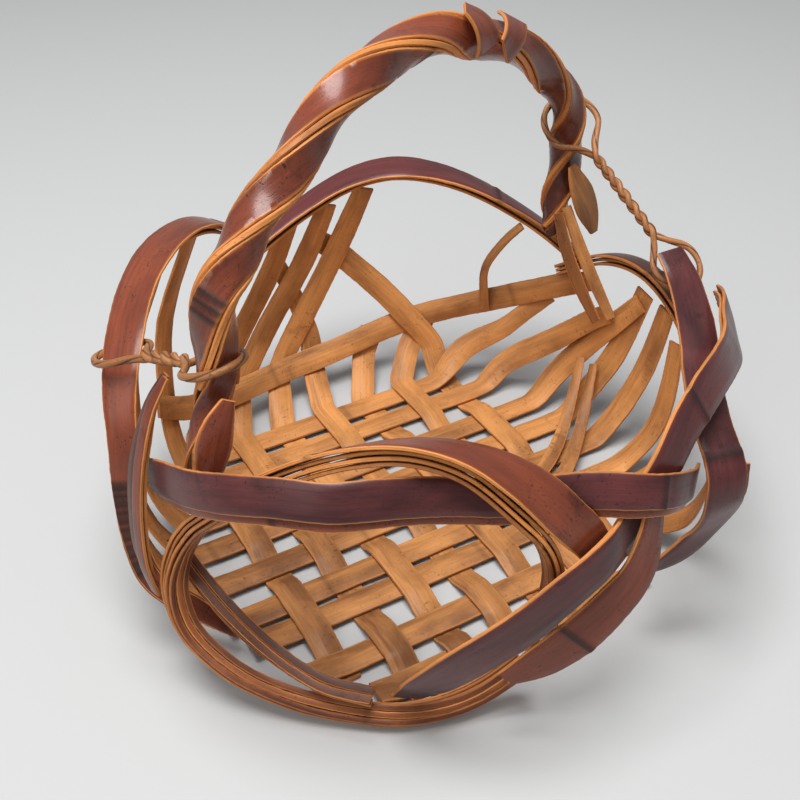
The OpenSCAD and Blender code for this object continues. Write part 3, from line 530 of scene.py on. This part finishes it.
ring_keys = [
    on_wall(-114, 14, -11.5, -80, 7), on_wall(-122, 7.5, -7, -88, 7), on_wall(-130, 3.8, -1, -90, 7),
    on_wall(-139, 2.85, 3.5, -90, 7), on_wall(-150, 3.4, 4.5, -90, 7), on_wall(-160, 6, 5.5, -90, 7),
    on_wall(-170, 12, 6, -90, 7), on_wall(-179, 21, 4, -90, 7), on_wall(-183, 34, -0.5, -90, 7),
    on_wall(-183, 47, -6, -90, 7), on_wall(-179, 60, -8.5, -90, 7), on_wall(-172, 73, -6, -90, 7),
    on_wall(-162, 88, -3, -90, 9), on_wall(-151, 97.5, -0.5, -88, 10), on_wall(-139, 101, 0, -78, 12)]
strip_piece("front_loop_1", strip_line(ring_keys + [
    on_wall(-127.8, 98.4, -0.5, -60, 14), on_wall(-118.5, 90, -2, -35, RIM_W),
    on_wall(-111.9, 78.5, -3.4, -15, 14), on_wall(-107, 67, -6, -10, 12),
    on_wall(-105.5, 54, -9, -10, 9), on_wall(-106.5, 42, -10.5, -10, 5)]),
    red_strip, SMOKED, joints=[70, 232], tint=0.75)
bundle_splints("front_loop", ring_keys + [
    on_wall(-128, 96.6, -1.2, -85, 7), on_wall(-120, 85.7, -3.5, -85, 7),
    on_wall(-114.5, 74.5, -4.8, -85, 7), on_wall(-112, 60, -7.5, -85, 7),
    on_wall(-112, 44, -10, -85, 7), on_wall(-115, 30, -10.5, -85, 7)],
    (0, 0.4, -0.3), ([120], [210], [55, 290]), lanes=3)

# ---- Front sweeps ----
# Narrow smoked splints on edge that sweep across inside the lower left of the ring, where the bundle's ends
# spread. Each is split in two, and only the strips round them hold them.
for i, (rise, spread) in enumerate([(0, 0), (1.7, 3.5), (3.4, 7)]):
    strip_piece(f"front_sweep_{i + 1}", strip_line([
        on_wall(-188, 36 + spread, -10, -85, 6), on_wall(-182, 28 + spread, -10, -85, 6),
        on_wall(-173, 20.5 + spread, -8.5, -85, 6), on_wall(-163, 15 + spread * 0.7, -6, -85, 6),
        on_wall(-153, 12.5 + rise, -2.5, -85, 6), on_wall(-144, 12.5 + rise, -1.5, -85, 6)]),
        splint, SPLIT, lanes=2)

# ---- Front band ----
# A straight dark strip of smoked bamboo, its skin outwards, that crosses the front from the leaves at the
# left to the strips at the right. A redder one behind it shows along its lower edge.
skin_dark = bamboo("smoked_skin_purple", (0.130, 0.033, 0.032), (0.048, 0.013, 0.015), (0.42, 0.15, 0.05),
                   0.34, coat=0.10, streaks=0.5, specks=0.8, wear_and_shade=0.7, bump=0.12, wear_and_shade_from=0.88)
dark_strip = (skin_dark, edge, inner_dark)
band_keys = [
    on_wall(172.4, 69.7, -5, 0, 10), on_wall(178.4, 74.4, -3, 0, 11.5), on_wall(-173, 81, 2, 0, 11.5),
    on_wall(-165, 86.4, 5.5, 0, 11.5), on_wall(-157, 90, 7, 0, 11.5), on_wall(-149, 91, 6.5, 0, 11.5),
    on_wall(-142, 90.5, 1.5, 0, 11.5), on_wall(-134, 87.8, -5.6, 0, 11.5), on_wall(-126, 85, -9.3, 0, 11.5),
    on_wall(-119, 83.3, -9.8, 0, 11.5), on_wall(-113.6, 82.2, -9.8, 0, 11.5),
    on_wall(-108.5, 81.6, -9, 0, 11.5), on_wall(-104, 81.6, -5, 0, 11.5), on_wall(-99.5, 80.6, -0.8, 0, 11),
    on_wall(-93, 77, 0.8, 0, 10.5), on_wall(-86, 71, -2.5, 0, 10), on_wall(-80, 65, -7, 0, 10)]
strip_piece("front_band", strip_line(band_keys), dark_strip, SMOKED, joints=[178], tint=0.45)
strip_piece("front_band_under", strip_line(band_keys, -LAYER, 2.5, 12), red_strip, SPLIT, joints=[60])

# ---- Left loop and leaves ----
# A broad smoked strip and two splints bent on edge into an arch, blackened at the knuckle. Two short
# pointed strips of smoked bamboo stand beside it, between the loop and the band.
BACK_END_BURNT, KNUCKLE_BURNT = [22, 25, 28], list(range(183, 216, 2))
left_keys = [
    on_wall(80, 64, 5, -70, 8), on_wall(91, 80, 4, -65, 10), on_wall(103, 91, 1, -58, 13),
    on_wall(117, 95, 0, -50, RIM_W), on_wall(131, 93, -1.5, -45, RIM_W), on_wall(145, 88, -3, -45, 14),
    on_wall(154, 78, -4, -52, 12), on_wall(159, 65, -5, -62, 10), on_wall(161, 50, -2.5, -68, 8),
    on_wall(164, 36, 0.5, -76, 7), on_wall(169, 24, 2, -85, 7), on_wall(176, 16, -4, -90, 7),
    on_wall(184, 11.5, -7.5, -90, 5)]
strip_piece("left_loop_1", strip_line(left_keys), red_strip, SMOKED,
            joints=BACK_END_BURNT + KNUCKLE_BURNT, tint=0.8)
bundle_splints("left_loop", left_keys, (0.6, -0.5), ([224], []))
leaf_keys = [
    on_wall(173.5, 31, 2.5, 5, 5, 3), on_wall(173.5, 43, 2.5, 5, 9, 3), on_wall(173, 57, 0.5, 5, 10, 3),
    on_wall(172, 71, -1, 5, 10, 3), on_wall(171, 82, -1.5, 0, 9, 3), on_wall(170, 90, -1.5, 0, 6, 3),
    on_wall(170, 97, -2, 0, 3)]
strip_piece("left_leaf_1", strip_line(leaf_keys), brown_strip, SMOKED, tint=0.3)
strip_piece("left_leaf_2", strip_line(leaf_keys, LAYER, 3, 5), red_strip, SMOKED)

# ---- Back loops ----
# Two arches along the back rim, each of three strips of smoked bamboo bent on edge: a broad one on top and
# two splints under it. The first is dark and the second brown.
back_keys = [
    on_wall(6, 58, 3.4, -65, 9), on_wall(18, 71, 2, -58, 12), on_wall(33, 86, 0, -58, RIM_W),
    on_wall(48, 93, 0, -66, 14), on_wall(61, 89, 0, -72, 12), on_wall(74, 79, -4, -75, 10),
    on_wall(87, 70, -8, -75, 9), on_wall(98, 63, -9.5, -75, 7)]
right_back_keys = [
    on_wall(-36, 52, -1, -70, 8), on_wall(-27, 60, -1, -65, 10), on_wall(-17, 67, 0, -60, 12),
    on_wall(-8, 69.5, 0, -60, 12), on_wall(1, 66, -2, -65, 11), on_wall(10, 58, -8.6, -70, 8)]
for group, keys, finish in (("back_loop", back_keys, dark_strip),
                            ("right_back_loop", right_back_keys, brown_strip)):
    strip_piece(f"{group}_1", strip_line(keys), finish, SMOKED, joints=[48])
    bundle_splints(group, keys, (0.5, -0.5), ([100], []))

# ---- Right side ----
# Broad strips of smoked bamboo. One turns over from the wall into the front, and one bulges out under it
# and runs down to a burnt, torn end. Each has a twin behind it, and a short red one lies below.
fold_keys = [
    on_wall(-72, 76, -6, 50, 14), on_wall(-77, 68, 1, 44, 14), on_wall(-78, 58, 2, 40, 14),
    on_wall(-76, 48, 0.5, 38, 14), on_wall(-75, 38, -2.5, 35, 14), on_wall(-78, 31, -6.5, 30, 12),
    on_wall(-83, 27, -12, 20, 8)]
outer_keys = [
    on_wall(-18, 83, 2, 75, 11), on_wall(-24, 78, -1, 72, 13), on_wall(-36, 75, -8, 66, 14),
    on_wall(-49, 76, -12, 60, 14), on_wall(-62, 79, -11, 54, 14)] + fold_keys
strip_piece("right_outer", strip_line(outer_keys), (skin_dark, edge, inner), SMOKED, joints=[112], tint=0.5)
strip_piece("right_outer_twin", strip_line(fold_keys[1:], -LAYER, -4, 10), (skin_red, edge, inner), SPLIT)
bulge_keys = [
    on_wall(-29, 75, 8.5, 0, 7), on_wall(-35, 78, 6, 0, 11), on_wall(-44, 80, 1.5, 5, 14),
    on_wall(-54, 84, 0.5, 5, 14), on_wall(-65, 88.5, 0, 0, 14), on_wall(-76, 89.5, -1, 0, 14),
    on_wall(-84.5, 86, -3, 0, 14), on_wall(-90, 81, -4, 0, 14), on_wall(-94.5, 74, -6.6, 0, 14),
    on_wall(-100, 67.5, -6.2, 0, 14), on_wall(-107, 66.5, -1, 0, 14), on_wall(-114.5, 61.5, 1, 0, 15),
    on_wall(-121.2, 52.3, 1.5, 0, 16.5), on_wall(-128.2, 41.3, 1, 0, 17), on_wall(-134, 27.1, -1, 0, 15),
    on_wall(-138, 15.3, -3, 0, 9)]
burnt_end = [-k for k in range(1, 10, 2)]
strip_piece("right_bulge", strip_line(bulge_keys), dark_strip, SMOKED, joints=[98] + burnt_end,
            torn=(0.5, 2.2), tint=0.6)
strip_piece("right_bulge_twin", strip_line(bulge_keys, -LAYER, -1.6, 14), (edge, edge, rim_face), SPLIT,
            torn=(0.5, 1.6), lanes=3)
strip_piece("right_lower", strip_line([
    on_wall(-95, 73, -4.2, 0, 8), on_wall(-97, 66, -2.9, 0, 11), on_wall(-99.5, 54, -2, 20, 13),
    on_wall(-104, 44, -2.5, 28, 14), on_wall(-109, 34.6, -3, 28, 15), on_wall(-114.5, 25.5, -4, 25, 15),
    on_wall(-120, 19.5, -4.5, 25, 8)]), red_strip, SMOKED, joints=[52], torn=(0.5, 1.5), tint=0.7)

# ---- Handle ----
# Three broad glossy strips of smoked bamboo twisted into a rope and bent into a tall arch, with three pale
# strips on edge standing in the grooves between them. It stands in the wall at both ends.
HALF, RISE, SHIFT, TURN = 102, 74, 9, math.radians(7)
WRAP_R, WRAP_W, WRAP_TURNS = 5, 8.8, 3.4
# the skins are a little broader than their solids, which closes the twist
WRAP_SPREAD = 1.1
FIN_R, FIN_W, FIN_T, FIN_FROM, FIN_TO = 4.35, 6.0, 1.9, 0.13, 0.96
handle_shares = [
    (-0.975, -0.4), (-0.91, -0.17), (-0.86, 0.01), (-0.82, 0.36), (-0.7, 0.54), (-0.54, 0.7), (-0.33, 0.89),
    (-0.12, 0.99), (0.15, 1), (0.37, 0.92), (0.68, 0.74), (0.91, 0.51), (1.035, 0.31), (1.07, 0.1),
    (1.04, -0.12), (1.02, -0.32), (1.01, -0.42)]
handle_keys = [[u * HALF, RIM_Z + v * RISE, 0, 0, 0, 5] for u, v in handle_shares]
handle_mid = [k[:2] for k in path(handle_keys)]


def from_handle(u, out, z):
    """A point u along the handle's span, a distance out from it, at a height."""
    return np.array([u * math.cos(TURN) - (SHIFT + out) * math.sin(TURN),
                     u * math.sin(TURN) + (SHIFT + out) * math.cos(TURN), z])


def round_handle(i, r, turn):
    """A point at a radius from the handle's middle line, turned about it."""
    t = tangent(handle_mid, i)
    a = math.radians(turn)
    return from_handle(handle_mid[i][0] - t[1] * r * math.sin(a), r * math.cos(a),
                       handle_mid[i][1] + t[0] * r * math.sin(a))


def handle_strand(first, r, w, on_edge, start=0, stop=1):
    """The line of a strip wound round the handle, narrower and closer in near its feet."""
    foot_share, foot_slope, closest = 0.35, 4.5, 1 if on_edge else 0.8
    last = len(handle_mid) - 1
    span = range(round(start * last), round(stop * last) + 1)
    taper = [min(1, foot_share + foot_slope * min(i / last, 1 - i / last)) for i in span]
    turns = [first + 360 * WRAP_TURNS * i / last for i in span]
    mids = [round_handle(i, r * max(s, closest), a) for i, s, a in zip(span, taper, turns)]
    out = [unit(m - round_handle(i, 0, 0)) for i, m in zip(span, mids)]
    normals = [np.cross(o, tangent(mids, k)) if on_edge else o for k, o in enumerate(out)]
    return mids, normals, [w * s for s in taper]


skin_handle = bamboo("handle_skin", (0.240, 0.055, 0.026), (0.060, 0.016, 0.011), (0.58, 0.20, 0.05), 0.26,
                     coat=0.22, streaks=0.5, specks=0.8, wear_and_shade=0.9, bump=0.14, wear_and_shade_from=0.78, char=0.85)
glossy_strip = (skin_handle, edge, inner)
# past two thirds of their length the wraps are painted darker: painted shade on the right leg
for i, (tint, joints) in enumerate([(0.7, [170, 334]), (0.55, [205]), (0.85, [58, 61, 64])]):
    strip_piece(f"handle_wrap_{i + 1}", handle_strand(120 * i, WRAP_R, WRAP_W * WRAP_SPREAD, False),
                (skin_handle, edge, inner_dark), SMOKED, joints=joints, gap=1.0, softness=5, crown=0.3,
                tint=tint, deepen=0.66)
    strip_piece(f"handle_fin_{i + 1}", handle_strand(120 * i + 60, FIN_R, FIN_W, True, FIN_FROM, FIN_TO),
                (edge, edge, edge), SPLIT, gap=1.0, softness=5, thick=FIN_T)

# ---- Handle: cut ends ----
# Two smoked strips close the twist at the top. Each is tucked into it at one end, bends over it and stands
# off it a little at its broad cut end.
TAB_W, TAB_FROM, TAB_SWEEP, TAB_STEPS, TAB_TIP = 12, 110, 84, 7, 1.0
TAB_TIP_R = WRAP_R + 2.1 * LAYER
# where it stands on the handle's middle line, how far it slants along it, and the radius of its tucked end
for name, middle, slant, tucked_r in (("handle_end_1", 44, -5, 7.9), ("handle_end_2", 47, 5, 9.2)):
    t = tangent(handle_mid, middle)
    lean = from_handle(t[0], 0, t[1]) - from_handle(0, 0, 0)
    points, out = [], []
    for s in range(TAB_STEPS + 1):
        slide = lean * slant * (1 - s / (TAB_STEPS / 2))
        r = TAB_TIP_R + (tucked_r - TAB_TIP_R) * s / TAB_STEPS
        points.append(round_handle(middle, r, TAB_FROM + TAB_SWEEP * s / TAB_STEPS) + slide)
        out.append(unit(points[s] - (round_handle(middle, 0, 0) + slide)))
    # the cut end stands straight off the twist
    points.insert(0, points[0] + unit(points[0] - points[2]) * TAB_TIP)
    out.insert(0, out[0])
    strip_piece(name, (points, out, [TAB_W] * len(points)), glossy_strip, SMOKED, gap=0.8, softness=2)

# ---- Handle: feet and braces ----
# Strips of split bamboo carry the handle down to the wall: a pale pointed foot and two thin braces at its
# right leg, and a glossy pointed foot at its left. They are pushed in between the strips of the rim.
def standing_strip(name, keys, face, finish, slot, tint=None):
    """A strip that faces the same way all along."""
    line = path(keys)
    strip_piece(name, ([k[:3] for k in line], [np.array(face)] * len(line), [k[4] for k in line]),
                finish, slot, gap=0.9, tint=tint)


def beside_leg(u, out, rise, w):
    """A key beside the handle's right leg, at a height over the rim."""
    return [*from_handle(u, out, RIM_Z + rise), 0, w, 3]


standing_strip("handle_foot_right", [
    beside_leg(102, -7, 1, 4), beside_leg(103, -10, -6, 10), beside_leg(106, -12.2, -14, 13),
    beside_leg(109, -14, -22, 10), beside_leg(110, -16, -29, 4)],
    [-0.1, -0.9, 0.4], (inner, edge, inner), SPLIT, tint=0.0)
standing_strip("handle_brace_1", [
    beside_leg(99.9, -7.5, -16, 4), beside_leg(99.5, -15, -30, 5), beside_leg(100.4, -24, -46, 5),
    beside_leg(101.5, -32.8, -60.4, 4)],
    [-0.8, -0.5, 0.3], (inner, edge, inner), SPLIT)
standing_strip("handle_brace_2", [
    beside_leg(96.6, -6, -18, 4), beside_leg(95.2, -12, -32, 5), beside_leg(96, -20, -48, 5),
    beside_leg(98, -28, -62, 4)],
    [-0.8, -0.5, 0.3], (inner_dark, edge, inner_dark), SPLIT)
standing_strip("handle_foot_left", [
    on_wall(-171.8, 101.8, 0.7, 0, 4, 3), on_wall(-172.1, 96.4, -0.1, 0, 9, 3),
    on_wall(-172.4, 90.2, -1.9, 0, 11, 3), on_wall(-172.7, 83.9, -4.3, 0, 9, 3),
    on_wall(-173, 76.3, -7.4, 0, 3, 3)],
    [-0.45, -0.85, 0.2], glossy_strip, SMOKED)

# ---- Loose strips ----
# Two pale braces of split bamboo lie inside, from the floor to the right wall, and a thin tendril hangs in
# the back opening. Nothing but the weave holds them.
def inside(angle, r, z, w):
    a = math.radians(angle)
    return [r * math.cos(a), r * math.sin(a), z, 0, w, 4]


strip_piece("inner_brace_1", strip_line([
    inside(-30, 48, 5.9, 6), inside(-17, 64, 6.4, 6), inside(-7, 82, 10.5, 5), inside(0, 102, 27, 4)]),
    pale_strip, SPLIT)
strip_piece("inner_brace_2", strip_line([
    inside(-37, 54, 5.9, 6), inside(-24, 67, 6.4, 6), inside(-12, 84, 11, 5), inside(-4, 102, 27, 4)]),
    pale_strip, SPLIT)
strip_piece("tendril", strip_line([
    on_wall(20, 70, -5, 40, 3.5), on_wall(24, 62, -7, 40, 4), on_wall(28, 50, -8, 30, 4),
    on_wall(28, 38, -6.5, 20, 4.5), on_wall(27.5, 30, -4.5, 10, 4)]), pale_strip, PALE)

# ---- Rattan ties ----
# Each is one length of split cane closed round two members, its sides twisted on each other between them.
# The left one holds the handle's left leg to the left loop, and the right one holds the right leg to the
# broad strip at the right.
RATTAN_D = 2.4
TIE_STEPS, CAP_STEPS = 30, 5
# its edge colour is nearly black: painted shade in the crease between the two strands
rattan = bamboo("rattan", (0.50, 0.215, 0.078), (0.24, 0.090, 0.030), (0.045, 0.016, 0.007), 0.42,
                coat=0.12, streaks=0.8, specks=0.4, wear_and_shade=1.0, bump=0.7, wear_and_shade_from=0.45)


def tie_route(start, stop, hold_start, hold_stop, twists, up):
    """The closed middle line of a tie round two members, its distances along and its whole length.

    A hold is half the width and half the length of the turn round a member.
    """
    member_share, neck, ease_length, side_share, gap = 0.7, 8, 10, 0.54, 0.8
    passes, free_passes = 30, 4
    run = stop - start
    along = unit(run)
    flat = unit(np.cross(along, up))
    over = np.cross(flat, along)
    long = np.linalg.norm(run)
    close_start, close_stop = hold_start[1] * member_share, hold_stop[1] * member_share
    shut = RATTAN_D * side_share
    first, last = (close_start + neck) / long, 1 - (close_stop + neck) / long

    def side_point(s, sign):
        a = clamp((s * long - close_start) / ease_length)
        b = clamp(((1 - s) * long - close_stop) / ease_length)
        wide = shut + (1 - a) ** 2 * (hold_start[0] - shut) + (1 - b) ** 2 * (hold_stop[0] - shut)
        turn = math.radians(90 + 180 * twists * clamp((s - first) / (last - first)))
        return start + run * s + sign * wide * (flat * math.sin(turn) + over * math.cos(turn))

    def cap(centre, hold, side, way):
        turns = [math.radians(180 * k / (CAP_STEPS + 1)) for k in range(1, CAP_STEPS + 1)]
        return [centre + flat * hold[0] * math.cos(a) * side + along * hold[1] * math.sin(a) * way
                for a in turns]

    shares = [k / TIE_STEPS for k in range(TIE_STEPS + 1)]
    far = math.cos(math.radians(180 * twists))
    loop = [side_point(s, 1) for s in shares] + cap(stop, hold_stop, far, 1)
    loop += [side_point(s, -1) for s in shares[::-1]] + cap(start, hold_start, -1, -1)
    # the turns round the two members are eased more than the twist between them
    eased = [0 if first < s < last else 1 for s in shares]
    eased = np.array(eased + [1] * CAP_STEPS + eased[::-1] + [1] * (CAP_STEPS + 1), float)
    ring = np.vstack([loop, loop[:1]])
    reach = np.concatenate([[0], np.cumsum(np.linalg.norm(np.diff(ring, axis=0), axis=1))])
    at = np.linspace(0, reach[-1], int(reach[-1] / gap) + 1)
    fine = np.column_stack([np.interp(at, reach, ring[:, k]) for k in range(3)])[:-1]
    loose = np.interp(at, reach, eased)[:-1, None]
    for k in range(passes):
        softer = (np.roll(fine, 1, 0) + 2 * fine + np.roll(fine, -1, 0)) / 4
        fine = softer if k < free_passes else fine + (softer - fine) * loose
    return fine, at, reach[-1]


def cane(name, line, at, up):
    """A closed cane of two strands side by side, slowly twisting, with a crease between them darkened by
    painted shade.
    """
    sides, strand_twist, valley, strand_rise = 24, 0.22, 0.84, 0.32
    count = len(line)
    drift = wander(random.Random(name), at, 30, 0.05)
    bm = bmesh.new()
    grain = bm.loops.layers.uv.new("along")
    tone = bm.verts.layers.float_color.new("tone")
    rings = []
    for i in range(count):
        t = unit(line[(i + 1) % count] - line[i - 1])
        a = unit(np.array(up) - np.dot(up, t) * t)
        b = np.cross(t, a)
        ring = []
        for k in range(sides):
            angle = 2 * math.pi * k / sides
            strand = abs(math.cos(angle + at[i] * strand_twist))
            r = RATTAN_D / 2 * (valley + drift[i] + strand_rise * strand ** 0.7)
            v = bm.verts.new((line[i] + r * (a * math.cos(angle) + b * math.sin(angle))) / 1000)
            # painted shade: the first tone channel is highest in the crease between the strands, which the
            # finish paints dark
            v[tone] = ((1 - strand) ** 2, 0, 0.5 + drift[i], 1)
            ring.append(v)
        rings.append(ring)
    for i in range(count):
        j = (i + 1) % count
        for k in range(sides):
            m = (k + 1) % sides
            f = bm.faces.new((rings[i][k], rings[i][m], rings[j][m], rings[j][k]))
            f.smooth = True
            for corner, (x, y) in zip(f.loops, ((i, k), (i, k + 1), (i + 1, k + 1), (i + 1, k))):
                corner[grain].uv = (at[x] / 1000, y * RATTAN_D * math.pi / sides / 1000)
    into_basket(name, new_mesh(name, bm, [rattan]))


def tie(name, start, stop, hold_start, hold_stop, twists, up):
    line, at, length = tie_route(start, stop, hold_start, hold_stop, twists, up)
    cane(name, line, at, up)
    return length


left_loop_top = np.array(on_wall(147.8, 84.6, -2.9, 0, 0)[:3])
left_leg = from_handle(-0.85 * HALF, 0, RIM_Z + 6)
right_leg = from_handle(1.065 * HALF, 0, RIM_Z + 0.22 * RISE)
right_strip = np.array(on_wall(-20, 77, 2, 0, 0)[:3])
left_length = tie("tie_left", left_loop_top, left_leg, (9.1, 10.5), (9.5, 9), 5, (0, 0, 1))
right_length = tie("tie_right", right_leg, right_strip, (10.8, 10.2), (9, 9), 8, (-0.35, 0.1, 0.93))

# ---- Table, light and camera ----
# A plain pale surface under one large soft light from above and a weak one from the left, seen from the
# front left at a raised angle.
ground = bpy.data.materials.new("pale_surface")
ground.use_nodes = True
ground_shader = ground.node_tree.nodes["Principled BSDF"]
ground_shader.inputs["Base Color"].default_value = (0.515, 0.52, 0.52, 1)
ground_shader.inputs["Roughness"].default_value = 0.85
bm = bmesh.new()
bmesh.ops.create_grid(bm, x_segments=1, y_segments=1, size=6)
mesh = bpy.data.meshes.new("surface")
bm.to_mesh(mesh)
bm.free()
mesh.materials.append(ground)
surface = bpy.data.objects.new("surface", mesh)
bpy.context.scene.collection.objects.link(surface)
surface.location.z = -0.0003


def turned_to(place, aim):
    """The rotation of a lamp or camera that looks from its place to its aim."""
    way = np.array(aim) - np.array(place)
    return math.atan2(math.hypot(way[0], way[1]), -way[2]), 0, math.atan2(way[1], way[0]) - math.pi / 2


def softbox(name, place, power):
    light = bpy.data.lights.new(name, "AREA")
    light.shape = "DISK"
    light.size = 0.8
    light.energy = power
    lamp = bpy.data.objects.new(name, light)
    bpy.context.scene.collection.objects.link(lamp)
    lamp.location = place
    lamp.rotation_euler = turned_to(place, (0, 0, 0.05))


softbox("softbox_over", (-0.2, -0.02, 1.3), 20)
softbox("softbox_side", (-1.0, -0.1, 0.8), 3)
world = bpy.data.worlds.new("studio")
world.use_nodes = True
world.node_tree.nodes["Background"].inputs["Color"].default_value = (1, 1, 1, 1)
world.node_tree.nodes["Background"].inputs["Strength"].default_value = 0.30
bpy.context.scene.world = world
bpy.context.scene.view_settings.view_transform = "Standard"

camera_data = bpy.data.cameras.new("camera")
camera_data.lens = 49.5
camera_data.sensor_width = 36
camera = bpy.data.objects.new("camera", camera_data)
bpy.context.scene.collection.objects.link(camera)
camera_place = (-0.2337, -0.2237, 0.3017)
camera.location = camera_place
camera.rotation_euler = turned_to(camera_place, (-0.005, 0.005, 0.058))
bpy.context.scene.camera = camera
